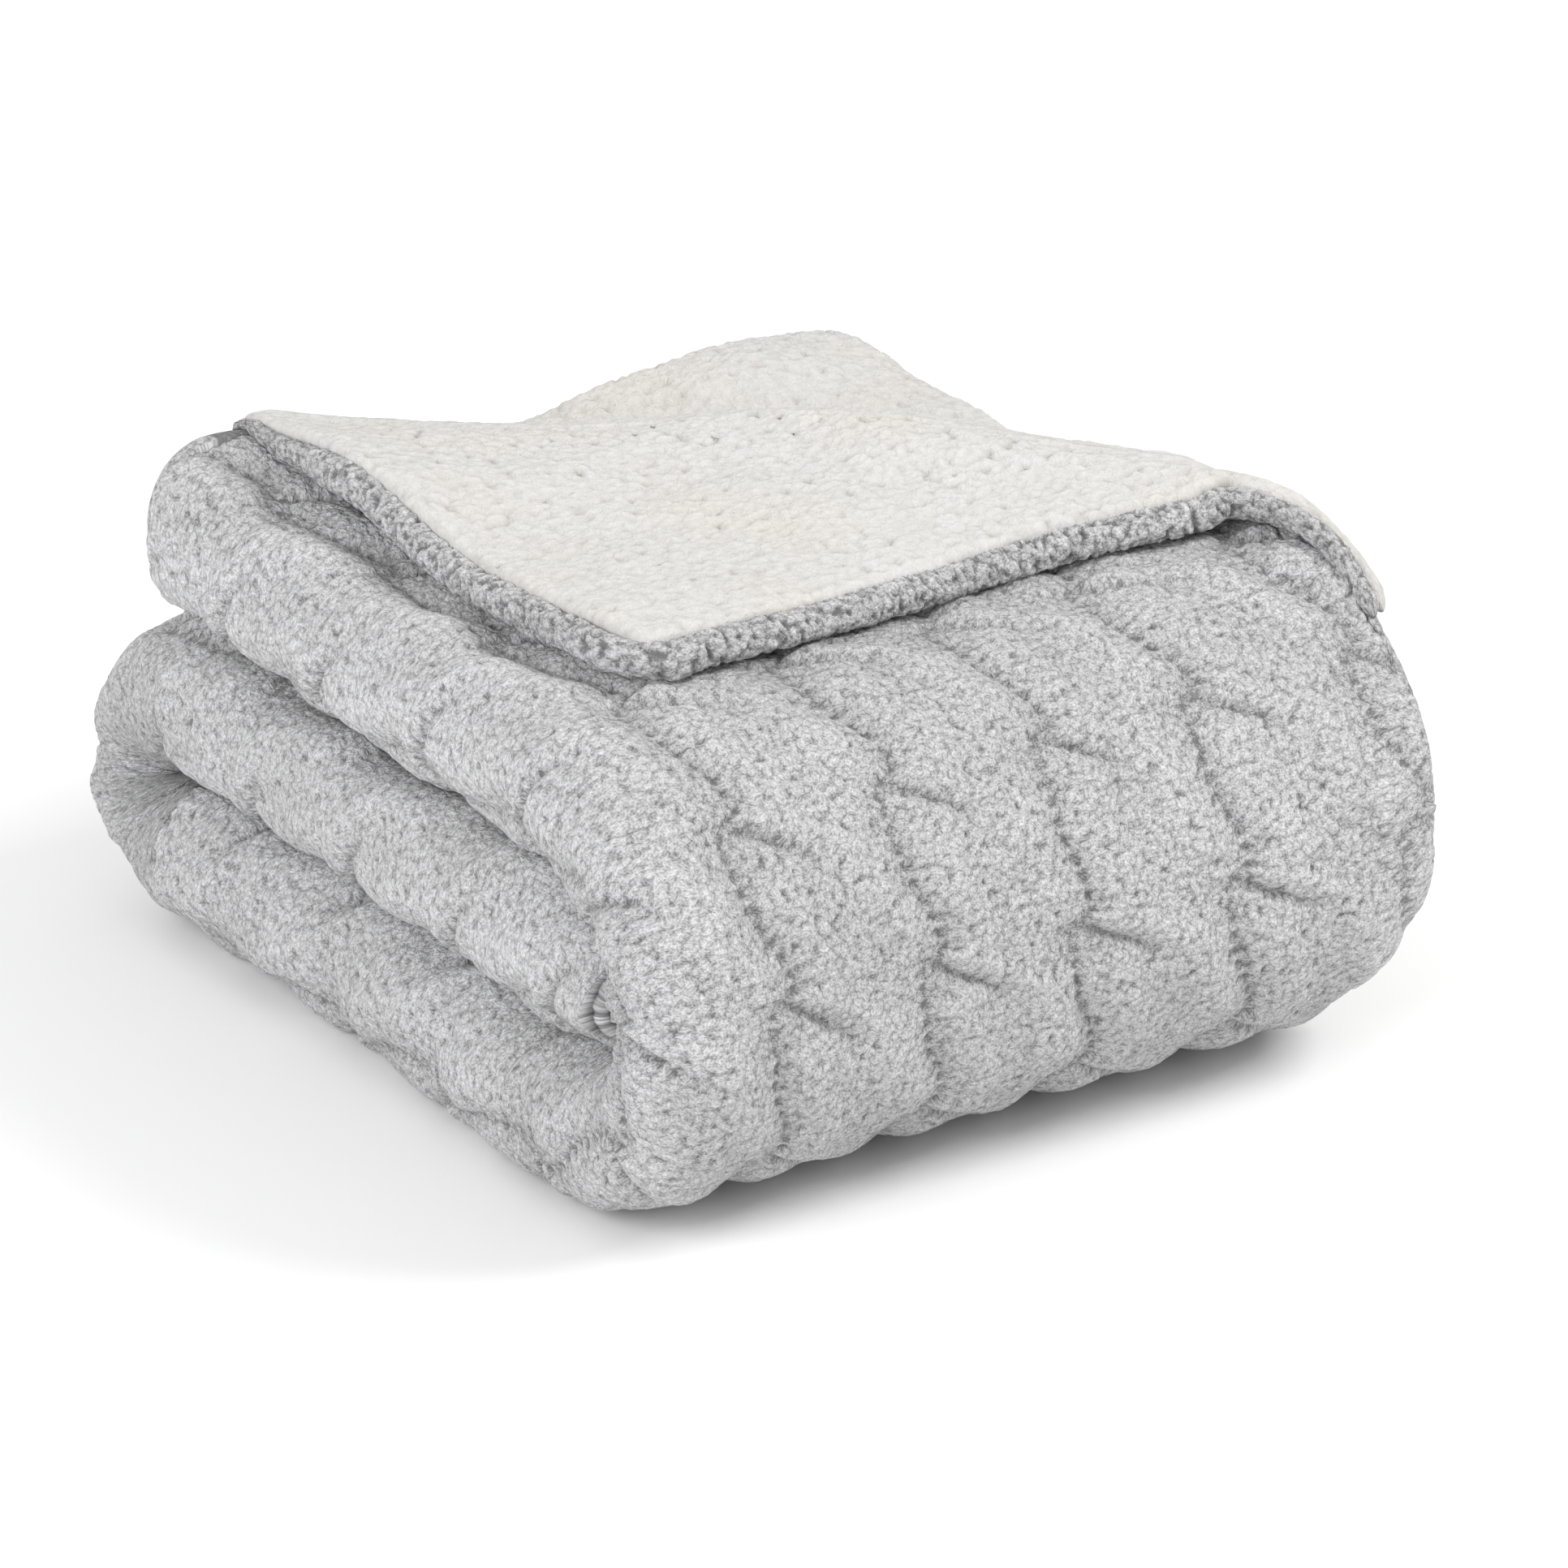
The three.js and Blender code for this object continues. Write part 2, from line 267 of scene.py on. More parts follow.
# Two ropes to a column. The left rope crosses over to the right at each row, along a slanting
# line, and the right one dives under it. Height is 0 in the deepest line and about 1 on a rope.
# The ladder is the dotted line between columns, the hook the step where a rope dives under.
def cableHeight(u, v):
    t = (v - cable["firstRow"]) / cable["row"]
    t = t - np.floor(t)
    a = (cable["firstColumn"] - u) - cable["drift"] * (v - cable["firstRow"])
    sway = cable["sway"] * smooth((t - cable["crossing"]) / 0.55) * (1 - smooth((t - 0.97) / 0.06))
    a = a - (sway - cable["swayBack"])
    a = a - cable["pitch"] * np.floor(a / cable["pitch"])
    crossed = cable["across"] * smooth((t + 0.06) / cable["crossing"])
    over = cable["near"] + crossed
    overNext = cable["near"] + cable["across"] * smooth((t - 0.94) / cable["crossing"])
    under = cable["far"] - cable["across"] * smooth((t - 0.02) / 0.3)

    def rope(centre, lift):
        d = np.abs(a - centre)
        d = np.minimum(d, cable["pitch"] - d)
        return (0.5 + 0.5 * np.cos(math.pi * np.clip(d / cable["half"], 0, 1))) ** 0.75 * lift

    fromAbove = rope(over, 1.0) * (1 - smooth((t - 0.8) / 0.2))
    below = rope(under, 1 - 0.7 * (1 - smooth(t / 0.34)))
    leaving = rope(overNext, 1.0) * smooth((t - 0.5) / 0.3)
    edge = np.minimum(a, cable["pitch"] - a)
    between = cable["between"] * smooth(edge / cable["betweenWide"])
    high = np.maximum(np.maximum(np.maximum(fromAbove, below), leaving), between)
    dots = 0.5 + 0.5 * np.cos(2 * math.pi * v / cable["dots"])
    ladder = np.exp(-(edge / cable["ladderHalf"]) ** 2) * dots * smooth(t / 0.05)
    hook = np.exp(-((a - crossed - cable["hookAside"]) / cable["hookHalf"]) ** 2)
    return high, ladder, hook * (1 - smooth((t - 0.15) / 0.25))


# Relief gives how far the pile is sunk below its tallest, in millimetres, and how hollow it is,
# 0 to 1: a painted shade that darkens the colour in the hollows. Tufts are given as cell, length
# and half width, mottles as cell.
knitPile = {"wander": 6, "cell": 60, "tuft": (3.6, 3.2, 2.2), "broadCell": 17, "shape": 0.9,
            "fine": 1.8, "broad": 0.9, "deepest": 7.3}
sherpaPile = {"lump": (5.4, 3.6, 3.7), "small": (3.0, 2.4, 1.9), "aside": 1.7, "broadCell": 22,
              "lumps": 2.5, "fine": 0.9, "broad": 2.4}


def knitRelief(u, v):
    wander = knitPile["wander"] * (mottle(u, v, knitPile["cell"], 5) - 0.5)
    rope, ladder, hook = cableHeight(u + wander, v + wander)
    fine = tufts(u, v, *knitPile["tuft"], 11)
    broad = mottle(u, v, knitPile["broadCell"], 21)
    shape = cable["rope"] * (1 - rope) + cable["ladder"] * ladder + cable["hook"] * hook
    sunk = shape * knitPile["shape"] + knitPile["fine"] * (1 - fine) + knitPile["broad"] * (1 - broad)
    # hollow is painted shade: darker between the tufts, in the ladder's dots, in the shadow under the hook
    # and low between the ropes
    hollow = np.clip(0.7 * (1 - fine) + 0.95 * ladder + 0.55 * hook + 0.2 * (1 - rope), 0, 1)
    return np.minimum(sunk, knitPile["deepest"]), hollow


def sherpaRelief(u, v):
    lumps = tufts(u, v, *sherpaPile["lump"], 31)
    small = tufts(u + sherpaPile["aside"], v, *sherpaPile["small"], 37)
    broad = mottle(u, v, sherpaPile["broadCell"], 41)
    sunk = sherpaPile["lumps"] * (1 - lumps) + sherpaPile["fine"] * (1 - small)
    sunk = sunk + sherpaPile["broad"] * (1 - broad)
    # the hollow is painted shade between the lumps, darkest where the lumps are low
    return sunk, np.clip(1.1 * (1 - lumps * (0.75 + 0.25 * small)), 0, 1)


# ---- how the folded block settles: soft pushes in millimetres, worked on every piece alike

pushes = [
    # centre, size, move
    ((208, -205, 135), (60, 85, 95), (18, 0, 0)),
    ((200, -150, 0), (70, 170, 34), (-9, 0, 0)),
    ((192, 186, 205), (58, 55, 60), (-20, -14, 0)),
    ((95, 176, 212), (105, 62, 58), (0, 0, 19)),
    ((-165, 188, 215), (50, 60, 45), (-2, 2, 9)),
    ((-200, 225, 60), (50, 40, 34), (-4, 1, 0)),
    ((-150, 239, 90), (90, 40, 70), (-4, 6, 0)),
    ((-60, 60, 226), (70, 60, 30), (0, 0, -3)),
]

# soft creases where the cloth is drawn in, each along a line
creases = [
    # one end, other end, half width, move
    ((-134, 141, 226), (-196, 162, 205), 9, (1.0, 0, -3.4)),
    ((-130, 100, 226), (-200, 124, 196), 10, (1.4, 0, -3.6)),
    ((-124, 48, 226), (-200, 84, 200), 11, (1.2, 0, -3.6)),
    ((-134, -12, 226), (-200, 30, 200), 10, (1.4, 0, -3.4)),
    ((-140, -66, 226), (-202, -24, 196), 10, (1.4, 0, -3.4)),
    ((-128, -146, 224), (-202, -96, 186), 13, (1.6, 0, -3.2)),
    ((-120, -134, 226), (-96, -166, 214), 7, (0, 3.0, -5.0)),
    ((-104, -142, 226), (-66, -176, 212), 8, (0, 2.0, -3.2)),
    ((-160, -214, 70), (-204, -150, 60), 9, (3.6, 2.0, 0)),
    ((-150, -222, 52), (-204, -168, 34), 8, (3.2, 2.4, 0)),
    ((-168, -216, 96), (-206, -190, 120), 8, (3.0, 2.4, 0)),
    ((-200, 228, 74), (-184, 168, 92), 7, (7, -3, 0)),
    ((-196, 216, 46), (-182, 150, 74), 7, (6, -2, 2)),
    ((-202, 60, 128), (-202, 96, 84), 11, (3.4, 0, 0)),
    ((-202, -20, 136), (-202, 16, 88), 11, (3.4, 0, 0)),
    ((-202, -110, 132), (-202, -76, 86), 11, (3.4, 0, 0)),
    ((-202, 20, 60), (-202, 54, 14), 12, (3.4, 0, 0)),
    ((-202, -70, 62), (-202, -40, 14), 12, (3.4, 0, 0)),
    ((146, -134, 226), (172, -190, 214), 8, (0, 1.0, -4.0)),
    ((120, -134, 226), (138, -176, 218), 9, (0, 1.5, -3.0)),
]


# each move fades with the square of the distance from its line, and to nothing at the two ends
def creased(x, y, z):
    dx, dy, dz = np.zeros_like(x), np.zeros_like(x), np.zeros_like(x)
    for first, last, half, (mx, my, mz) in creases:
        ax, ay, az = last[0] - first[0], last[1] - first[1], last[2] - first[2]
        px, py, pz = x - first[0], y - first[1], z - first[2]
        t = np.clip((px * ax + py * ay + pz * az) / (ax * ax + ay * ay + az * az), 0, 1)
        away = (px - t * ax) ** 2 + (py - t * ay) ** 2 + 0.4 * (pz - t * az) ** 2
        near = np.exp(-away / half ** 2) * (0.5 + 0.5 * np.sin(math.pi * t))
        dx += mx * near
        dy += my * near
        dz += mz * near
    return dx, dy, dz


# each push fades as e to the minus square of the distance over its size; slow waves come on top
waves = {"x": 2.2, "y": 2.2, "z": 2.4}


def settled(x, y, z):
    dx, dy, dz = np.zeros_like(x), np.zeros_like(x), np.zeros_like(x)
    for (cx, cy, cz), (sx, sy, sz), (mx, my, mz) in pushes:
        near = np.exp(-((x - cx) / sx) ** 2 - ((y - cy) / sy) ** 2 - ((z - cz) / sz) ** 2)
        dx += mx * near
        dy += my * near
        dz += mz * near
    high = np.clip(z / stack, 0, 1.2)
    cx, cy, cz = creased(x, y, z)
    dx, dy, dz = dx + cx, dy + cy, dz + cz
    dx += waves["x"] * np.sin(y / 41 + 0.7) * np.sin(z / 34 + 0.4)
    dy += waves["y"] * np.sin(x / 47 + 2.0) * np.sin(z / 52)
    dz += waves["z"] * np.sin(x / 53 + 0.5) * np.cos(y / 45) * high
    return x + dx, y + dy, z + dz


# the settled points as one long list
def settledList(x, y, z):
    return np.stack(settled(x, y, z), -1).reshape(-1, 3)


# The open side rolls over: the two outer plies bend round a line below the face. They stay
# flatter where the turned corner leaves the edge.
sideRoll = {"from": 163.0, "bend": 23.0, "under": 38.0, "flatAt": 352.0, "flatFor": 60.0}


def rolledOver(x, depth, v):
    amount = 1 - bump(v, sideRoll["flatAt"], sideRoll["flatFor"])
    amount = amount * (depth < sideRoll["under"] - 0.5)
    past = np.maximum(x - sideRoll["from"], 0)
    turn = amount * past / sideRoll["bend"]
    radius = sideRoll["under"] - np.maximum(depth, 0)
    rolled = x + amount * (radius * np.sin(turn) - past) * (past > 0)
    return rolled, depth + amount * radius * (1 - np.cos(turn))


# A smooth curve threaded through points, for t from 0 to 1. Between two points it is the cubic
# whose slope at each is half the step from the point before to the point after.
def threaded(points, t):
    points = np.array(points, float)
    ends = np.concatenate([[2 * points[0] - points[1]], points, [2 * points[-1] - points[-2]]])
    k = np.clip((t * (len(points) - 1)).astype(int), 0, len(points) - 2)
    f = (t * (len(points) - 1) - k)[..., None]
    a, b, c, d = ends[k], ends[k + 1], ends[k + 2], ends[k + 3]
    square, cube = 2 * a - 5 * b + 4 * c - d, 3 * b - a - 3 * c + d
    return 0.5 * (2 * b + (c - a) * f + square * f ** 2 + cube * f ** 3)


# ---- meshes


def grid(index):
    return np.stack([index[:-1, :-1], index[:-1, 1:], index[1:, 1:], index[1:, :-1]], -1).reshape(-1, 4)


# faces of a closed band: a fine far face, a near face with every k-th point, and its rims
def bandFaces(rows, n, k):
    m = (n - 1) // k + 1
    far = np.arange(rows * n).reshape(rows, n)
    near = rows * n + np.arange(rows * m).reshape(rows, m)
    quads = [grid(far), grid(near)[:, ::-1]]
    quads.append(np.stack([far[:-1, 0], far[1:, 0], near[1:, 0], near[:-1, 0]], -1))
    quads.append(np.stack([far[1:, -1], far[:-1, -1], near[:-1, -1], near[1:, -1]], -1))
    steps = np.arange(m - 1)[:, None] * k + np.arange(k + 1)[None, :]
    first = np.concatenate([far[0][steps][:, ::-1], near[0, :-1, None], near[0, 1:, None]], 1)
    last = np.concatenate([far[-1][steps], near[-1, 1:, None], near[-1, :-1, None]], 1)
    return [np.concatenate(quads), first, last]


# faces of a closed tube of rings, with its two ends
def tubeFaces(rows, n):
    index = np.arange(rows * n).reshape(rows, n)
    index = np.concatenate([index, index[:, :1]], 1)
    return [grid(index), index[0, :-1][::-1][None], index[-1, :-1][None]]


# six times the volume the faces close in, as a sum over triangles of a dot (b cross c)
def volumeOf(points, groups):
    total = 0.0
    for faces in groups:
        a = points[faces[:, 0]]
        for k in range(1, faces.shape[1] - 1):
            away = np.cross(points[faces[:, k]], points[faces[:, k + 1]])
            total += np.einsum("ij,ij->i", a, away).sum()
    return total


def meshPiece(name, points, groups, across, along, hollow, material):
    if volumeOf(points, groups) < 0:
        groups = [faces[:, ::-1] for faces in groups]
    corners = np.concatenate([faces.ravel() for faces in groups]).astype(np.int32)
    sizes = np.concatenate([np.full(len(faces), faces.shape[1]) for faces in groups])
    starts = np.concatenate([[0], np.cumsum(sizes)[:-1]]).astype(np.int32)
    mesh = bpy.data.meshes.new(name)
    mesh.vertices.add(len(points))
    mesh.vertices.foreach_set("co", (points * mm).astype(np.float32).ravel())
    mesh.loops.add(len(corners))
    mesh.loops.foreach_set("vertex_index", corners)
    mesh.polygons.add(len(sizes))
    mesh.polygons.foreach_set("loop_start", starts)
    mesh.update(calc_edges=True)
    mesh.polygons.foreach_set("use_smooth", np.ones(len(sizes), bool))
    flat = mesh.uv_layers.new(name="clothMap")
    places = np.stack([across, along], -1)[corners] * mm
    flat.data.foreach_set("uv", places.astype(np.float32).ravel())
    # the hollow attribute carries painted shade for the material
    sunk = mesh.attributes.new("hollow", "FLOAT", "POINT")
    sunk.data.foreach_set("value", hollow.astype(np.float32))
    mesh.materials.append(material)
    piece = bpy.data.objects.new(name, mesh)
    bpy.context.scene.collection.objects.link(piece)
    return piece


# ---- materials


def newMaterial(name):
    material = bpy.data.materials.new(name)
    material.use_nodes = True
    tree = material.node_tree
    tree.nodes.clear()
    out = tree.nodes.new("ShaderNodeOutputMaterial")
    shader = tree.nodes.new("ShaderNodeBsdfPrincipled")
    tree.links.new(shader.outputs[0], out.inputs[0])
    return material, tree, shader


# each place takes another node's socket or a plain value
def plug(tree, *pairs):
    for place, value in pairs:
        if isinstance(value, bpy.types.NodeSocket):
            tree.links.new(value, place)
        else:
            place.default_value = value


# inputs are given by name, or as i and a number
def addNode(tree, kind, settings=None, **inputs):
    node = tree.nodes.new(kind)
    for key, value in (settings or {}).items():
        setattr(node, key, value)
    for key, value in inputs.items():
        numbered = key[0] == "i" and key[1:].isdigit()
        plug(tree, (node.inputs[int(key[1:]) if numbered else key], value))
    return node


def mixColours(tree, factor, low, high):
    node = addNode(tree, "ShaderNodeMix", {"data_type": "RGBA"})
    plug(tree, (node.inputs[0], factor), (node.inputs[6], low), (node.inputs[7], high))
    return node.outputs[2]


def spreadOut(tree, value, low, high):
    return addNode(tree, "ShaderNodeMapRange", None, i0=value, i1=low, i2=high).outputs[0]


def calc(tree, how, a, b):
    return addNode(tree, "ShaderNodeMath", {"operation": how}, i0=a, i1=b).outputs[0]


# a pile of short yarn tufts: painted shade between them and in the hollows, fine fibre tone, soft sheen
def pileMaterial(name, look):
    material, tree, shader = newMaterial(name)
    place = addNode(tree, "ShaderNodeUVMap", {"uv_map": "clothMap"}).outputs[0]
    # the hollow attribute: painted shade in the pile's hollows
    hollow = addNode(tree, "ShaderNodeAttribute", {"attribute_name": "hollow"}).outputs["Fac"]
    flatNoise = "ShaderNodeTexNoise", {"noise_dimensions": "2D"}
    bend = addNode(tree, *flatNoise, Vector=place, Scale=look["bendScale"], Detail=1.0)
    shift = addNode(tree, "ShaderNodeVectorMath", {"operation": "MULTIPLY_ADD"},
                    i0=bend.outputs["Color"], i1=(look["bend"],) * 3, i2=place).outputs[0]
    tuft = addNode(tree, "ShaderNodeTexVoronoi", {"voronoi_dimensions": "2D", "feature": "SMOOTH_F1"},
                   Vector=shift, Scale=look["tuftScale"], Smoothness=0.35, Randomness=1.0)
    tuft = tuft.outputs["Distance"]
    fibre = addNode(tree, *flatNoise, Vector=shift, Scale=look["fibreScale"], Detail=2.0, Roughness=0.6)
    fibre = fibre.outputs["Fac"]
    patch = addNode(tree, *flatNoise, Vector=place, Scale=look["patchScale"], Detail=2.0).outputs["Fac"]
    # painted shade at the tufts' edges, then painted shade from the hollows and the fibre's own tone, all
    # mixed towards the dark colour
    shadeAndFibre = calc(tree, "MULTIPLY", spreadOut(tree, tuft, 0.25, 0.75), look["shadeAndFibre"])
    for value, amount in ((hollow, look["hollow"]), (spreadOut(tree, fibre, 0.62, 0.38), look["fibre"])):
        shadeAndFibre = calc(tree, "ADD", shadeAndFibre, calc(tree, "MULTIPLY", value, amount))
    colour = mixColours(tree, spreadOut(tree, patch, 0.35, 0.65), look["light"], look["lightToo"])
    colour = mixColours(tree, spreadOut(tree, shadeAndFibre, 0.0, 1.0), colour, look["dark"])
    rough = spreadOut(tree, fibre, 0.0, 1.0)
    rough = addNode(tree, "ShaderNodeMapRange", None, i0=rough, i3=0.82, i4=1.0).outputs[0]
    height = calc(tree, "SUBTRACT", calc(tree, "MULTIPLY", fibre, look["fibreHeight"]),
                  calc(tree, "MULTIPLY", tuft, look["tuftHeight"]))
    raised = addNode(tree, "ShaderNodeBump", None, Strength=1.0, Distance=look["bumpDistance"], Height=height)
    settings = {"Base Color": colour, "Roughness": rough, "Normal": raised.outputs[0],
                "Sheen Weight": look["sheen"], "Sheen Roughness": 0.5, "Sheen Tint": (1, 1, 1, 1),
                "Specular IOR Level": 0.1}
    plug(tree, *((shader.inputs[key], value) for key, value in settings.items()))
    return material


# the tufts' edges, the hollows and the fibre each darken the yarn by these amounts towards dark:
# the first two are painted shade, the fibre is the yarn's own fine tone
knitLook = {"light": (0.80, 0.80, 0.812, 1), "lightToo": (0.735, 0.735, 0.742, 1),
            "dark": (0.18, 0.177, 0.18, 1), "tuftScale": 330.0, "fibreScale": 1000.0,
            "patchScale": 14.0, "bendScale": 170.0, "bend": 0.0022, "shadeAndFibre": 0.36, "hollow": 0.56,
            "fibre": 0.42, "fibreHeight": 1.0, "tuftHeight": 1.4, "bumpDistance": 0.0012, "sheen": 0.2}
# the hems get stronger painted shade between their tufts and in their hollows
hemLook = dict(knitLook, light=(0.80, 0.80, 0.81, 1), lightToo=(0.75, 0.75, 0.76, 1),
               dark=(0.20, 0.197, 0.20, 1), hollow=0.8, shadeAndFibre=0.45)
sherpaLook = {"light": (0.65, 0.645, 0.637, 1), "lightToo": (0.65, 0.63, 0.60, 1),
              "dark": (0.40, 0.377, 0.345, 1), "tuftScale": 230.0, "fibreScale": 800.0,
              "patchScale": 9.0, "bendScale": 120.0, "bend": 0.003, "shadeAndFibre": 0.12, "hollow": 0.42,
              "fibre": 0.14, "fibreHeight": 0.6, "tuftHeight": 1.0, "bumpDistance": 0.001, "sheen": 0.1}
labelLook = dict(sherpaLook, light=(0.93, 0.93, 0.92, 1), lightToo=(0.9, 0.9, 0.89, 1),
                 dark=(0.75, 0.75, 0.74, 1), tuftScale=900.0, fibreScale=1800.0, bend=0.0, hollow=0.3,
                 bumpDistance=0.0002, sheen=0.0)

knitMaterial = pileMaterial("knittedFace", knitLook)
sherpaMaterial = pileMaterial("sherpaBack", sherpaLook)
hemMaterial = pileMaterial("rolledHem", hemLook)
labelMaterial = pileMaterial("wovenLabel", labelLook)

# ---- the panels

# step is the mesh spacing along the strip, and fine that of the knit in the outer ply and round the
# wide folds; what is never seen has a coarse mesh
unseen = 12
plain = (unseen,) * (lastPart + 1)
panels = {
    "topPanel": {"runs": [(atTop, hemLine, block["wrapY"]),
                          (atWrap, 0.0, wrap["liftTurn"])],
                 "node": "top_panel", "step": 1.9, "fine": (1.9, 1.8), "sherpa": (3.5, *plain[:5], 2.0)},
    "frontWrap": {"runs": [(atWrap, wrap["liftTurn"], math.pi)],
                  "node": "front_wrap", "step": 1.6, "fine": (1.6, 1.6)},
    "bottomPanel": {"runs": [(atBottom, block["wrapY"], block["backY"])],
                    "node": "bottom_panel", "step": 1.8, "fine": (3.9, 1.8)},
    "backFold": {"runs": [(atBack, 0.0, math.pi)],
                 "node": "back_fold", "step": 2.0, "fine": (2.0, 1.8)},
    "middlePanel": {"runs": [(atMiddle, block["backY"], block["wrapY"]),
                             (atTuckedEnd, 0.0, tuckedEnd["turn"])],
                    "node": "middle_panel", "step": 1.8, "fine": (3.6, 1.8)},
}
panelStarts, reached = {}, cloth["hem"]
for name, panel in panels.items():
    panelStarts[name] = reached
    reached = stationsOf(panel["runs"], 20, reached)["end"]
wrapSpan = (block["topEnd"] - block["wrapY"], panelStarts["bottomPanel"])
print("strip is", round(reached), "mm long")


# where the turned corner's fold line crosses, as x for each y
foldSlope = (block["side"] - corner["startX"]) / (block["topEnd"] - corner["endY"])


def foldX(y):
    return corner["startX"] + (block["topEnd"] - y) * foldSlope


foldStart = np.array([corner["startX"], block["topEnd"]])
foldEnd = np.array([block["side"], corner["endY"]])
foldRun = foldEnd - foldStart
foldLength = np.linalg.norm(foldRun)
foldAway = np.array([-foldRun[1], foldRun[0]]) / foldLength


# points along the seven parts of the line, at the given spacing in each
def across(steps):
    lengths = np.diff(acrossStarts)
    q = [np.array([0.0])]
    for part, (length, step) in enumerate(zip(lengths, steps)):
        count = max(2, int(round(length / step / 4)) * 4)
        q.append(part + np.linspace(0, 1, count + 1)[1:])
    return np.concatenate(q)


# how far the face puffs out: a half wave round the wide folds, and another down the front
puff = {"side": 7.0, "fullness": 0.8, "front": 3.6}


def puffed(q, v):
    f = np.clip(q - 1, 0, 1)
    side = puff["side"] * np.sin(math.pi * f) ** puff["fullness"] * (q > 1) * (q < 2)
    down = np.clip((v - wrapSpan[0]) / (wrapSpan[1] - wrapSpan[0]), 0, 1)
    return side + puff["front"] * np.sin(math.pi * down) * (q < 2)


# the sherpa of the far half swells up where the corner has been turned off it, with a hollow
# beside the fold, and rounds down towards its two free edges
swell = {"high": 5, "within": 70, "edge": 40, "hollow": 4.5, "hollowAt": 24, "hollowWide": 14, "waves": 2.5}


def swollen(x, y):
    beyond = (x - corner["startX"]) * foldAway[0] + (y - block["topEnd"]) * foldAway[1]
    free = np.minimum(openEdge - x, hemLine - y)
    high = swell["high"] * smooth(beyond / swell["within"]) * smooth(free / swell["edge"])
    high = high - swell["hollow"] * bump(beyond, swell["hollowAt"], swell["hollowWide"])
    return high + swell["waves"] * np.sin(x / 21) * np.sin(y / 26) * smooth(beyond / swell["edge"])


# a piece from two faces of points: one with pile, and a plain one at every k-th of its points
def bandPiece(name, faces, k, u, v, hollow, plainFaceShade, material):
    # the plain face is painted one set shade
    plainPart = np.full(hollow[:, ::k].shape, plainFaceShade) if k > 1 else hollow
    places = [np.concatenate([values.ravel(), values[:, ::k].ravel()]) for values in (u, v)]
    hollow = np.concatenate([hollow.ravel(), plainPart.ravel()])
    return meshPiece(name, np.concatenate(faces), bandFaces(*u.shape, k), *places, hollow, material)


# A panel's knit or its sherpa, through all four plies. Pile is cut down from the far face where the
# mesh is fine. The near face is plain, has every fourth point, and follows most of the puffing.
thinned, fineStep, follows = 4, 4, 0.8
# the sherpa drops as a quarter circle towards the hem
rimOf = {"wide": 9, "drop": 3}


def clothBand(name, runs, start, step, steps, near, far, relief, material, turnedCorner=False):
    stations = stationsOf(runs, step, start)
    q = across(steps)
    rows, k = len(stations["along"]), thinned
    fine = (np.array(steps) < fineStep)[partOf(q)]
    edge = np.full((rows, 1), openEdge)
    flatY = carried(stations, np.zeros((rows, 1)))[0]
    if turnedCorner:
        edge = np.minimum(edge, foldX(flatY))
    isKnit = far > near
    x, _ = pliesAcross(q[None, :], np.full((rows, 1), far), edge)
    u = clothAcross(q[None, :] + 0 * x, x)
    v = stations["along"][:, None] + 0 * x
    sunk, hollow = relief(u, v)
    sunk = sunk * fine[None, :]
    if isKnit:
        outward = puffed(q[None, :], v)
        shift = outward - sunk
    else:
        rim = np.minimum(u - cloth["hem"], acrossStarts[-1] - cloth["hem"] - u)
        if turnedCorner:
            rim = np.minimum(rim, v - cloth["hem"])
        rim = np.clip(rim / rimOf["wide"], 0, 1)
        sunk = sunk + rimOf["drop"] * (1 - np.sqrt(1 - (1 - rim) ** 2)) * fine[None, :]
        outward = swollen(x, flatY) * (q > lastPart)[None, :] if turnedCorner else 0 * x
        shift = sunk - outward
    nearShift = follows * (outward if isKnit else -outward)[:, ::k]
    faces = []
    for offset, pick in ((far + shift, slice(None)), (near + nearShift, slice(None, None, k))):
        x, depth = rolledOver(*pliesAcross(q[None, pick], offset, edge), v[:, pick])
        faces.append(settledList(x, *carried(stations, depth)))
    return bandPiece(name, faces, k, u, v, hollow * fine, 0.6, material)


hemRound = {"points": 22, "half": 5.0, "thick": 7.2, "squareness": 2.3, "sideways": 0.85,
            "tuft": (3.6, 3.6, 2.2), "rough": 0.24, "uneven": 0.06}


# A rolled hem along a side edge: a rounded ring carried along the strip. It sits on the knit's
# side of its ply, so the sherpa's pile stands above it.
def sideHem(name, runs, start, middleDepth, step, turnedCorner=False):
    if turnedCorner:
        runs = [(atTop, corner["endY"], block["wrapY"])] + runs[1:]
        start = start + hemLine - corner["endY"]
    stations = stationsOf(runs, step, start)
    rows, n = len(stations["along"]), hemRound["points"]
    around = np.linspace(0, 2 * math.pi, n, endpoint=False)[None, :]
    v = stations["along"][:, None] + 0 * around
    u = around * 7 + 300 + 0 * v
    fine = tufts(u, v, *hemRound["tuft"], 51)
    size = 1 - hemRound["rough"] * (1 - fine) - hemRound["uneven"] * (1 - mottle(u, v, 12, 53))
    c, s = curved(around + math.pi, hemRound["squareness"])
    x = openEdge + hemRound["half"] * (hemRound["sideways"] + c * size)
    depth = middleDepth - hemRound["thick"] * s * size
    x, depth = rolledOver(x, depth, v)
    points = settledList(x, *carried(stations, depth))
    # the hollow passed on is painted shade between the tufts
    return meshPiece(name, points, tubeFaces(rows, n), u.ravel(), v.ravel(), (1 - fine).ravel(),
                     hemMaterial)


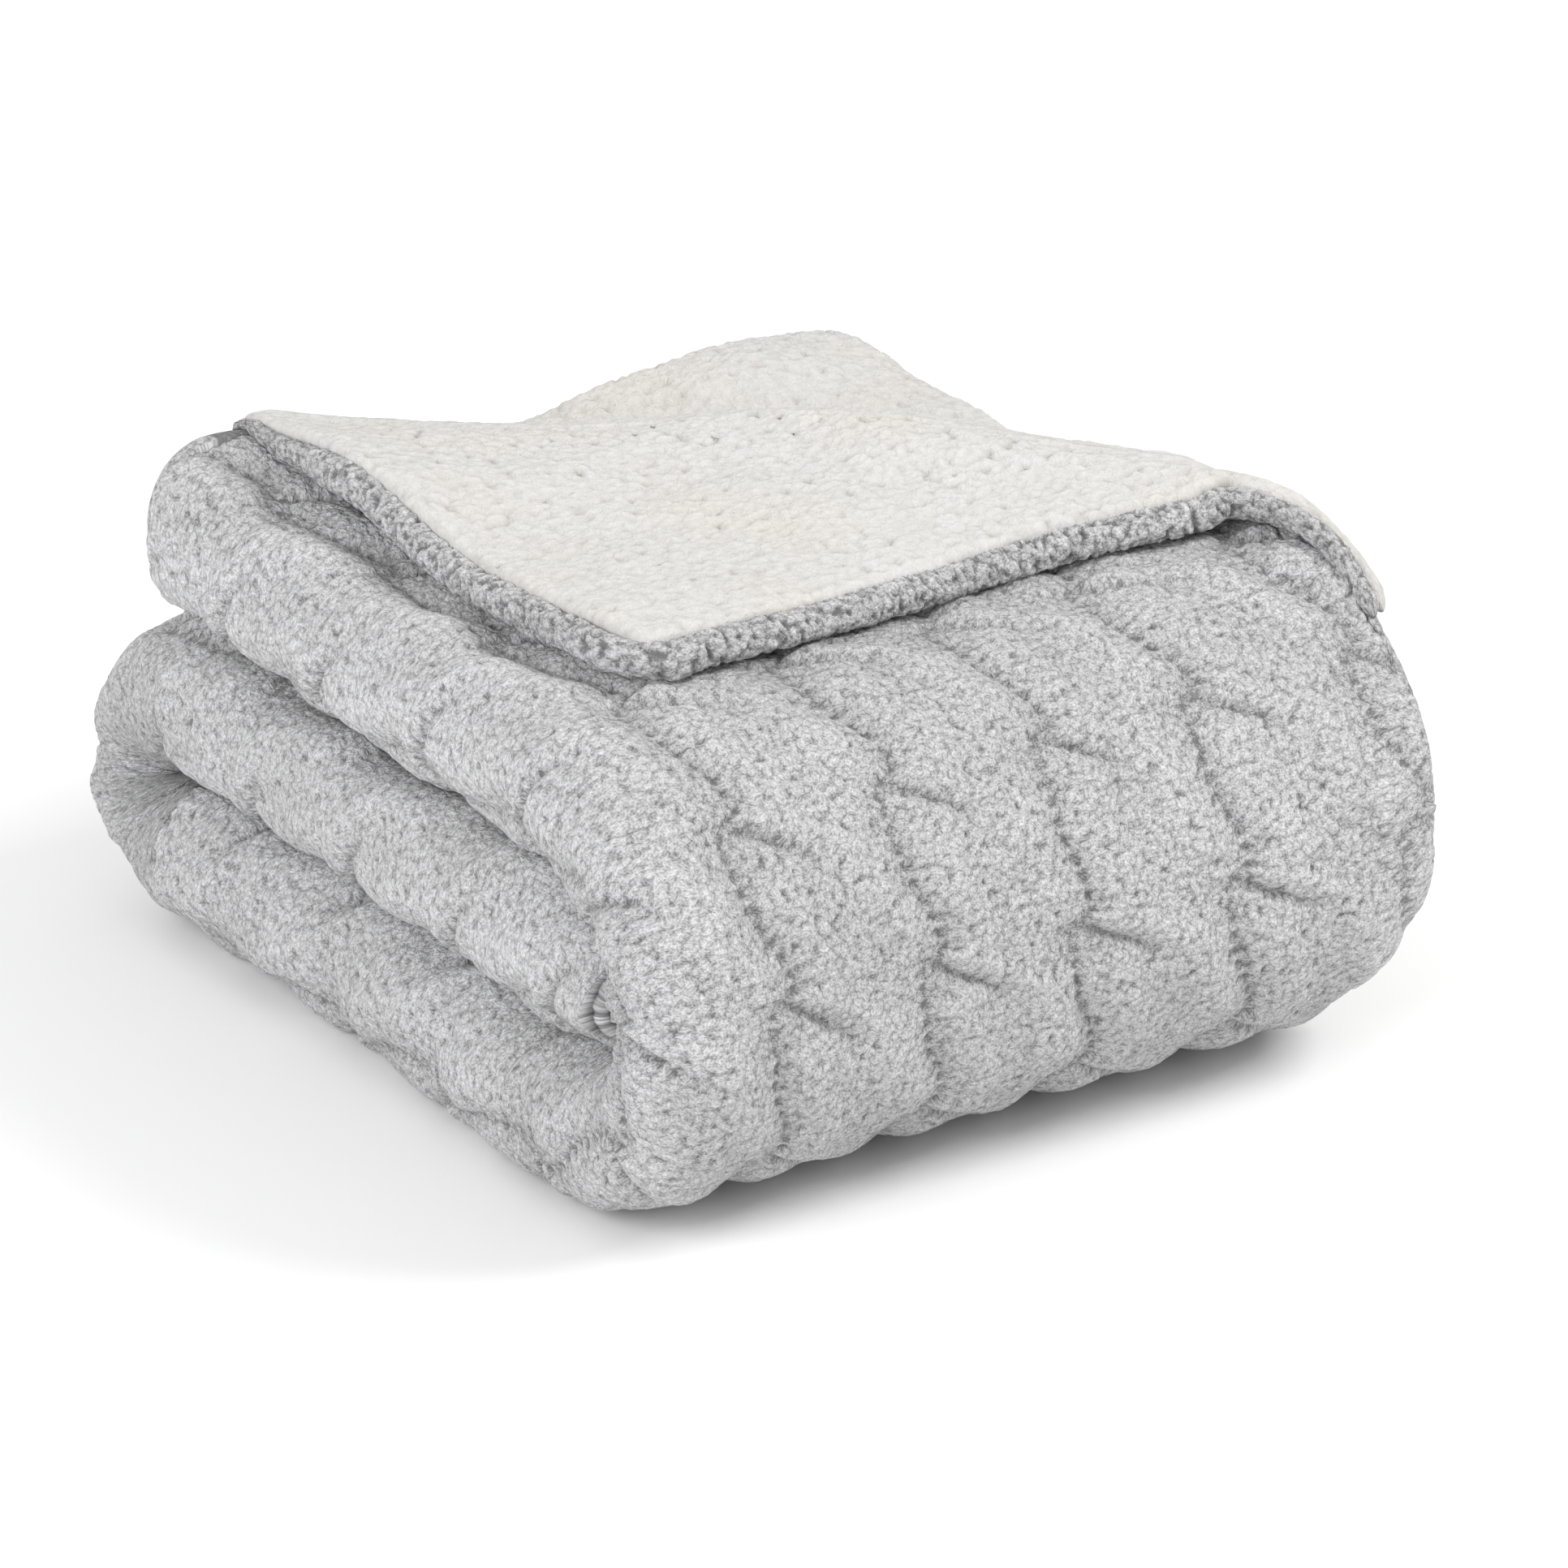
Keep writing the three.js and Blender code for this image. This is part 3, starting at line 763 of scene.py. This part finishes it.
outerHemDepth, innerHemDepth = 8.4, 2 * plyPitch - 8.2
madePieces = {}
for name, panel in panels.items():
    start = panelStarts[name]
    turned = name == "topPanel"
    knitSteps = (*panel["fine"], unseen, 3, unseen, unseen, unseen)
    knit = clothBand(name + "Knit", panel["runs"], start, panel["step"], knitSteps,
                     knitNear, knitFar, knitRelief, knitMaterial, turned)
    sherpaSteps = panel.get("sherpa", plain)
    sherpa = clothBand(name + "Sherpa", panel["runs"], start, 2.0 if turned else 8.0, sherpaSteps,
                       sherpaNear, sherpaFar, sherpaRelief, sherpaMaterial, turned)
    outer = sideHem(name + "OuterHem", panel["runs"], start, outerHemDepth, 2.0, turned)
    inner = sideHem(name + "InnerHem", panel["runs"], start, innerHemDepth, 2.0)
    for piece, kind in ((knit, "_knit"), (sherpa, "_sherpa"), (outer, "_outer_hem"), (inner, "_inner_hem")):
        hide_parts(panel["node"] + kind)
    madePieces[name] = {"knit": knit, "sherpa": sherpa, "hems": [outer, inner]}
    print(name, [len(o.data.polygons) for o in (knit, sherpa, outer, inner)])


# the hem across the strip's end: both cloths together, rounded off towards the edge as a quarter
# circle. It holds a tenth of the sherpa's thickness.
endRound = {"tuft": (3.7, 3.6, 2.4), "rough": 1.8, "sherpaShare": 0.1}


def endHem(name, place, edgeMark, innerMark, steps, count, turnedCorner=False):
    q = across(steps)
    t = np.sin(np.linspace(0, math.pi / 2, count))[:, None]
    marks = innerMark + (edgeMark - innerMark) * t
    middle = (knitFar + sherpaFar * endRound["sherpaShare"]) / 2
    full = (knitFar - sherpaFar * endRound["sherpaShare"]) / 2
    shrink = np.sqrt(np.clip(1 - t ** 2, 0.0004, 1))
    edge = np.full((count, 1), openEdge)
    if turnedCorner:
        edge = np.minimum(edge, foldX(marks))
    u = clothAcross(q[None, :] + 0 * marks, block["side"] + 0 * marks)
    u = u + (q[None, :] < 1) * q[None, :] * plyLength
    v = marks + 0 * u
    fine = tufts(u, v, *endRound["tuft"], 61)
    sheets = []
    for side in (1, -1):
        offset = middle + side * (full - endRound["rough"] * (1 - fine)) * shrink
        x, depth = pliesAcross(q[None, :], offset, edge)
        if turnedCorner:
            x, depth = rolledOver(x, depth, block["topEnd"] - marks)
        sheets.append(settledList(x, *place(marks, depth)))
    # the hollow passed on is painted shade between the tufts
    return bandPiece(name, sheets, 1, u, v, 1 - fine, None, hemMaterial)


topEndHem = endHem("topPanelEndHem", atTop, block["topEnd"], hemLine, (3,) * 7, 9, True)
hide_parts("top_panel_end_hem")
tuckedHem = endHem("middlePanelEndHem", atTuckedEnd, tuckedEnd["hemTurn"], tuckedEnd["turn"], (4,) * 7, 6)
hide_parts("middle_panel_end_hem")

# ---- the turned-back corner


# where a point above the top layer ends up once the side rolls over and the block settles
def settledOnTop(x, y, z):
    x, depth = rolledOver(x, stack - z, block["topEnd"] - y)
    return settledList(x, y, stack - depth)


# The flap is a patch in a and b, 0 at an arm and 1 at the fold. A bump is given as height,
# middle and width: lift is on the left arm, shoulder on the right arm, ridge along the fold.
flap = {"tip": (-139.0, -129.0), "low": stack + 0.4, "roundness": 24.0, "steps": 200,
        "lift": (9.0, 0.68, 0.17), "shoulder": (5, 0.90, 0.07), "ridge": (9.0, 0.6, 0.23),
        "belly": 3, "ripple": 1.8, "ridgeBow": 10.0, "inset": 0.03, "overHem": 0.008, "bow": 9.0,
        "foldBow": 6.0, "evenPile": 1.6, "rimRound": 3.4, "rimFull": 1.6}
flapTip = np.array(flap["tip"])
foldMiddle = (foldStart + foldEnd) / 2 + flap["foldBow"] * foldAway
rightArm = [flap["tip"], (-60, -126), (10, -118), (80, -114), (132, -121), (168, -124), (196.8, -112)]
seamZ = flap["low"] + cloth["knit"]
flapTop = flap["low"] + plyPitch - cloth["gap"]


# The flap's plan: a four-cornered patch with the tip at (0, 0), its two hemmed arms along b = 0
# and a = 0, and the fold line along the other two sides. The tip is rounded off.
def flapPlan(a, b):
    arm = threaded(rightArm, b)
    a, b = a[..., None], b[..., None]
    p = (1 - a) * (1 - b) * flapTip + a * (1 - b) * foldStart + (1 - a) * b * foldEnd + a * b * foldMiddle
    p = p + (1 - a) * (arm - (1 - b) * flapTip - b * foldEnd)
    p[..., 0] = p[..., 0] - flap["bow"] * (np.sin(math.pi * a) * (1 - b))[..., 0]
    leftWay = (foldStart - flapTip) / np.linalg.norm(foldStart - flapTip)
    rightWay = np.array([1.0, 0.0])
    onLeft, onRight = (p - flapTip) @ leftWay, (p - flapTip) @ rightWay
    r = flap["roundness"]
    c, d = np.clip(1 - onLeft / r, 0, 1), np.clip(1 - onRight / r, 0, 1)
    moveLeft = r * (c - c * np.sqrt(1 - d * d / 2))
    moveRight = r * (d - d * np.sqrt(1 - c * c / 2))
    return p + moveLeft[..., None] * leftWay + moveRight[..., None] * rightWay


# w runs along the fold, from 0 at its start to 1 at its end
def ridgeRise(w):
    high, middle, width = flap["ridge"]
    return high * bump(w, middle, width)


# the cloth draws in where the fold runs out at its two ends, rounded off by a square root
drawn = {"start": 0.55, "startFor": 0.5, "end": 0.75, "endFor": 0.1, "round": 0.035, "least": 0.03}


def drawnIn(w):
    ends = np.sqrt(np.clip(np.minimum(w, 1 - w) / drawn["round"], drawn["least"], 1))
    start = drawn["start"] + 0.45 * smooth(w / drawn["startFor"])
    return start * (drawn["end"] + 0.25 * smooth((1 - w) / drawn["endFor"])) * ends


# how far the flap stands off the top layer: raised along the left arm, the ridge and the right end
def flapRise(a, b):
    nearFold = np.maximum(a, b)
    w = (b + 1 - a) / 2
    rise = ridgeRise(w) * smooth((nearFold - 0.5) / 0.5)
    for (high, middle, width), onArm, fromArm in ((flap["lift"], a, b), (flap["shoulder"], b, a)):
        rise = rise + high * bump(onArm, middle, width) * (1 - fromArm) ** 3
    rise = rise + flap["belly"] * np.sin(math.pi * a) * np.sin(math.pi * b)
    rise = rise + flap["ripple"] * np.sin(9 * a + 5 * b) * np.sin(8 * b + 1) * (1 - nearFold)
    blendIn = smooth(6 * (1 - nearFold))
    return rise * blendIn + ridgeRise(w) * (1 - blendIn)


# the flap's thickness as a share: drawn in only next to the fold
def flapThin(a, b):
    byFold = smooth((np.maximum(a, b) - 0.8) / 0.2)
    return drawnIn((b + 1 - a) / 2) * byFold + 1 - byFold


def flapSheet(name, low, high, relief, material, upper):
    n = flap["steps"] + 1
    inset = flap["inset"] - flap["overHem"] * upper
    marks = np.linspace(inset, 1, n)
    a, b = np.meshgrid(marks, marks, indexing="ij")
    flat = flapPlan(a, b)
    away = ((flat - foldStart) @ foldAway)[..., None]
    unfolded = flat - 2 * away * foldAway
    u = block["side"] - unfolded[..., 0]
    v = block["topEnd"] - unfolded[..., 1]
    sunk, hollow = relief(u, v)
    rise, thin = flapRise(a, b), flapThin(a, b)
    sides = np.clip((np.minimum(a, b) - inset) * 300 / 6, 0, 1)
    rim = 1 - np.sqrt(np.clip(1 - (1 - sides) ** 2, 0, 1))
    atFold = smooth((np.maximum(a, b) - 0.95) / 0.05)
    sunk = sunk * (1 - atFold) + flap["evenPile"] * atFold
    sunk = sunk + (rim * flap["rimRound"] - flap["rimFull"] * (1 - smooth(sides / 3))) * upper
    farZ = flap["low"] + ((high - sunk if upper else low + sunk) - flap["low"]) * thin + rise
    nearZ = flap["low"] + ((low if upper else high) - flap["low"]) * thin + rise
    k = thinned
    faces = [settledOnTop(flat[..., 0], flat[..., 1], farZ),
             settledOnTop(flat[:, ::k, 0], flat[:, ::k, 1], nearZ[:, ::k])]
    return bandPiece(name, faces, k, u, v, hollow, 0.5, material)


flapKnit = flapSheet("cornerFlapKnit", flap["low"], seamZ, knitRelief, knitMaterial, False)
flapSherpa = flapSheet("cornerFlapSherpa", seamZ + cloth["gap"], flapTop, sherpaRelief, sherpaMaterial, True)
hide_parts("corner_flap_knit")
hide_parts("corner_flap_sherpa")


# A tufted roll carried along a line of points, each ring square to the way it runs. wide and tall
# are half sizes, and may change along the roll. rough is the share of them that the pile sinks.
rollRound = {"points": 36, "step": 1.3, "squareness": 2.2}


def tuftedRoll(name, line, wide, tall, relief, material, rough, seed, placing):
    far = np.concatenate([[0], np.cumsum(np.linalg.norm(np.diff(line, axis=0), axis=1))])
    count, n = max(8, int(far[-1] / rollRound["step"])), rollRound["points"]
    even = np.linspace(0, far[-1], count)
    path = np.stack([np.interp(even, far, line[:, k]) for k in range(3)], -1)
    wide, tall = np.interp(even, far, wide)[:, None], np.interp(even, far, tall)[:, None]
    way = np.gradient(path, axis=0)
    way /= np.linalg.norm(way, axis=1)[:, None]
    side = np.cross(way, [0, 0, 1.0])
    side /= np.linalg.norm(side, axis=1)[:, None]
    up = np.cross(side, way)
    around = np.linspace(0, 2 * math.pi, n, endpoint=False)[None, :]
    v = even[:, None] + 0 * around
    u = around * 8 + seed * 10 + 0 * v
    sunk, hollow = relief(u, v)
    size = 1 - rough * sunk
    c, s = curved(around + math.pi, rollRound["squareness"])
    ring = (wide * c * size)[..., None] * side[:, None, :] + (tall * s * size)[..., None] * up[:, None, :]
    points = placing(*np.moveaxis(path[:, None, :] + ring, -1, 0))
    return meshPiece(name, points, tubeFaces(count, n), u.ravel(), v.ravel(), hollow.ravel(), material)


hemRough = 0.3


# gives the pile's sink and, as the hollow, painted shade between its tufts
def hemPile(u, v):
    fine = tufts(u * 0.55, v, 3.2, 2.4, 1.8, 71)
    return 1 - fine + 0.3 * (1 - mottle(u, v, 12, 73)), 1 - fine


# one rolled hem round the flap's two arms, from the fold's start past the tip to its end
armHem = {"marks": 900, "inside": (20.0, 0.0), "up": 6.6, "in": 4.5, "wide": 9.0, "tall": 8.8}


def flapHem():
    s = np.linspace(0, 1, armHem["marks"])
    a, b = np.clip(1 - 2 * s, 0, 1), np.clip(2 * s - 1, 0, 1)
    flat = flapPlan(a, b)
    inward = np.array(armHem["inside"]) - flat
    inward /= np.linalg.norm(inward, axis=1)[:, None]
    near = np.minimum(s, 1 - s)
    thin = (0.5 + 0.5 * smooth(near * 7)) * np.sqrt(np.clip(near / 0.02, 0.02, 1))
    line = np.stack([flat[:, 0], flat[:, 1], flap["low"] + armHem["up"] * thin + flapRise(a, b)], -1)
    line[:, :2] += inward * armHem["in"]
    return tuftedRoll("cornerFlapHem", line, armHem["wide"] * thin, armHem["tall"] * thin, hemPile,
                      hemMaterial, hemRough, 50, settledOnTop)


flapRim = flapHem()
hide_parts("corner_flap_end_hem", "corner_flap_side_hem")
print("corner turned over")


# The fold itself: half a ring carried along the fold line, from the top layer round to the flap.
# foot and head are the heights where it starts and ends, reach how far it stands out.
def ridgePoints(w, turn, foot, head, reach):
    base = foldStart + w[..., None] * foldRun
    out = reach * np.sin(turn) + flap["foldBow"] * (1 - np.abs(2 * w - 1))
    z = foot + (head - foot) * (1 - np.cos(turn)) / 2
    flat = base + out[..., None] * foldAway
    return settledOnTop(flat[..., 0], flat[..., 1], z)


# each side of the band has its own foot, head and reach; even is where the pile levels out
evenFrom, evenFor = 2.6, 0.5


def ridgeBand(name, relief, material, far, near, step):
    rows = int(foldLength / step)
    n = int(round(math.pi * (far["reach"] + 10) / step / 4)) * 4 + 1
    w, turn = np.meshgrid(np.linspace(0, 1, rows), np.linspace(0, math.pi, n), indexing="ij")
    u = turn * (far["reach"] + 4) + 700
    v = w * foldLength
    sunk, hollow = relief(u, v)
    atTopEdge = smooth((turn - evenFrom) / evenFor)
    sunk = sunk * (1 - atTopEdge) + flap["evenPile"] * atTopEdge
    faces = []
    for side, pick in ((far, slice(None)), (near, slice(None, None, thinned))):
        ww, tt, ss = w[:, pick], turn[:, pick], sunk[:, pick] * (side is far)
        thin = drawnIn(ww)
        head = flap["low"] + (side["head"] - flap["low"]) * thin + ridgeRise(ww)
        foot = side["foot"]
        reach = (side["reach"] + flap["ridgeBow"] * np.sin(math.pi * ww)) * thin
        faces.append(ridgePoints(ww, tt, foot + ss * np.clip(np.cos(tt), 0, 1),
                                 head - ss * np.clip(-np.cos(tt), 0, 1), reach - ss))
    return bandPiece(name, faces, thinned, u, v, hollow, 0.5, material)


plySeam = stack - cloth["knit"] - cloth["gap"]
ridgeSherpa = ridgeBand("foldRidgeSherpa", sherpaRelief, sherpaMaterial,
                        {"foot": plySeam - cloth["sherpa"], "head": flapTop, "reach": 18.6},
                        {"foot": plySeam, "head": seamZ + cloth["gap"], "reach": 8.1}, 1.8)
ridgeKnit = ridgeBand("foldRidgeKnit", knitRelief, knitMaterial,
                      {"foot": stack - 0.1, "head": flap["low"] + 0.1, "reach": 0.6},
                      {"foot": plySeam + cloth["gap"], "head": seamZ, "reach": 7.7}, 2.5)

# where the fold runs out it turns down the open side: the hem goes down the edge, with a lip of
# sherpa showing outside it
tail = {"hem": [(152, -124, 236), (168, -124, 236), (180, -134, 233), (186, -148, 230), (188, -166, 225),
                (187, -184, 214), (185, -198, 204)],
        "lip": [(164, -92, 230), (180, -110, 231), (191, -128, 229), (195, -142, 225), (196, -166, 215),
                (195, -188, 200)]}


# its half size goes from first to last and is rounded off at both ends
def tailRoll(name, line, first, last, relief, rough, material, seed):
    marks = np.linspace(0, 1, 160)
    sizes = first + (last - first) * marks ** 0.8
    sizes = sizes * np.sqrt(np.clip(np.minimum(marks, 1 - marks) * 14, 0.02, 1))
    return tuftedRoll(name, threaded(line, marks), sizes, sizes, relief, material, rough, seed, settledList)


tailHem = tailRoll("edgeHem", tail["hem"], 8.4, 4.6, hemPile, hemRough, hemMaterial, 90)
tailLip = tailRoll("edgeSherpa", tail["lip"], 13.5, 5.5, sherpaRelief, 0.06, sherpaMaterial, 95)


# ---- the care label

# hemAt and hemWide place its stitched line
tag = {"wide": 32, "long": 26, "thick": 0.5, "curl": 2.2, "stitch": 0.12, "stitches": 60,
       "rows": 28, "columns": 34, "hemAt": 2.0, "hemWide": 0.5}


def careLabel():
    box = [np.array(v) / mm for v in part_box("care_label")]
    t, s = np.meshgrid(np.linspace(0, 1, tag["rows"]), np.linspace(0, 1, tag["columns"]), indexing="ij")
    y = box[0][1] + (box[1][1] - box[0][1]) * s
    z = box[1][2] - (box[1][2] - box[0][2]) * t
    x = box[0][0] + tag["curl"] * t ** 2 * (0.6 + 0.4 * np.sin(3 * s + 0.5))
    stitch = tag["stitch"] * np.abs(np.sin(s * tag["stitches"]))
    faces = [settledList(x + tag["thick"] + stitch, y, z), settledList(x, y, z)]
    u, v = s * tag["wide"], t * tag["long"]
    edge = np.minimum(np.minimum(s, 1 - s) * tag["wide"], (1 - t) * tag["long"])
    hollow = bump(edge, tag["hemAt"], tag["hemWide"])
    return bandPiece("careLabel", faces, 1, u, v, hollow, None, labelMaterial)


label = careLabel()
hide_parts("care_label")
print("fold, tail and label made")

# ---- what rides on what


def piecesOf(*names):
    return [piece for name in names
            for piece in (madePieces[name]["knit"], madePieces[name]["sherpa"], *madePieces[name]["hems"])]


for piece in (*piecesOf("topPanel", "frontWrap"), tailHem, tailLip):
    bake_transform(piece)
for piece in piecesOf("bottomPanel", "backFold", "middlePanel"):
    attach(piece, "folded_base")
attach(tuckedHem, "folded_base")
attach(label, "folded_base")
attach(topEndHem, "top_panel")
for piece in (flapKnit, flapSherpa, flapRim):
    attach(piece, "corner_flap")
for piece in (ridgeSherpa, ridgeKnit):
    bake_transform(piece)

# ---- stage, light and camera


def softLight(name, place, aim, size, power, colour):
    lamp = bpy.data.lights.new(name, "AREA")
    lamp.shape = "DISK"
    lamp.size = size
    lamp.energy = power
    lamp.color = colour
    holder = bpy.data.objects.new(name, lamp)
    holder.location = place
    holder.rotation_euler = (Vector(aim) - Vector(place)).to_track_quat("-Z", "Y").to_euler()
    bpy.context.scene.collection.objects.link(holder)


bpy.ops.mesh.primitive_plane_add(size=40, location=(0, 0, 0))
floor = bpy.context.object
floor.name = "floor"
floorMaterial, _, floorShader = newMaterial("paleFloor")
floorShader.inputs["Base Color"].default_value = (0.9, 0.9, 0.9, 1)
floorShader.inputs["Roughness"].default_value = 0.9
floor.data.materials.append(floorMaterial)
softLight("keyLight", (1.6, -1.3, 2.0), (0, 0, 0.1), 1.2, 48, (1.0, 0.99, 0.98))
softLight("fillLight", (-2.2, -0.7, 1.3), (0, 0, 0.1), 1.8, 37, (0.99, 0.99, 1.0))
softLight("backLight", (-0.6, 2.2, 2.0), (0, 0, 0.2), 1.4, 8, (1.0, 1.0, 1.0))
world = bpy.data.worlds.new("studio")
world.use_nodes = True
for socket, value in zip(world.node_tree.nodes["Background"].inputs, ((1, 1, 1, 1), 0.72)):
    socket.default_value = value
bpy.context.scene.world = world
bpy.context.scene.view_settings.view_transform = "Standard"

# angles, then metres, then the lens and its film in millimetres
viewFrom = {"azimuth": math.radians(-32.78), "elevation": math.radians(25.29), "distance": 6.99,
            "height": 0.113, "aside": 0.0144, "below": 0.0154, "farthest": 60, "lens": 365.2, "film": 36}


def addCamera():
    a, e = viewFrom["azimuth"], viewFrom["elevation"]
    back = Vector((math.sin(a) * math.cos(e), -math.cos(a) * math.cos(e), math.sin(e)))
    right = Vector((math.cos(a), math.sin(a), 0))
    up = back.cross(right)
    aim = Vector((0, 0, viewFrom["height"])) + right * viewFrom["aside"] - up * viewFrom["below"]
    lens = bpy.data.cameras.new("camera")
    lens.lens = viewFrom["lens"]
    lens.sensor_width = viewFrom["film"]
    lens.clip_end = viewFrom["farthest"]
    camera = bpy.data.objects.new("camera", lens)
    turned = Matrix((right, up, back)).transposed().to_4x4()
    camera.matrix_world = Matrix.Translation(aim + back * viewFrom["distance"]) @ turned
    bpy.context.scene.collection.objects.link(camera)
    bpy.context.scene.camera = camera


addCamera()
print("light and camera set")
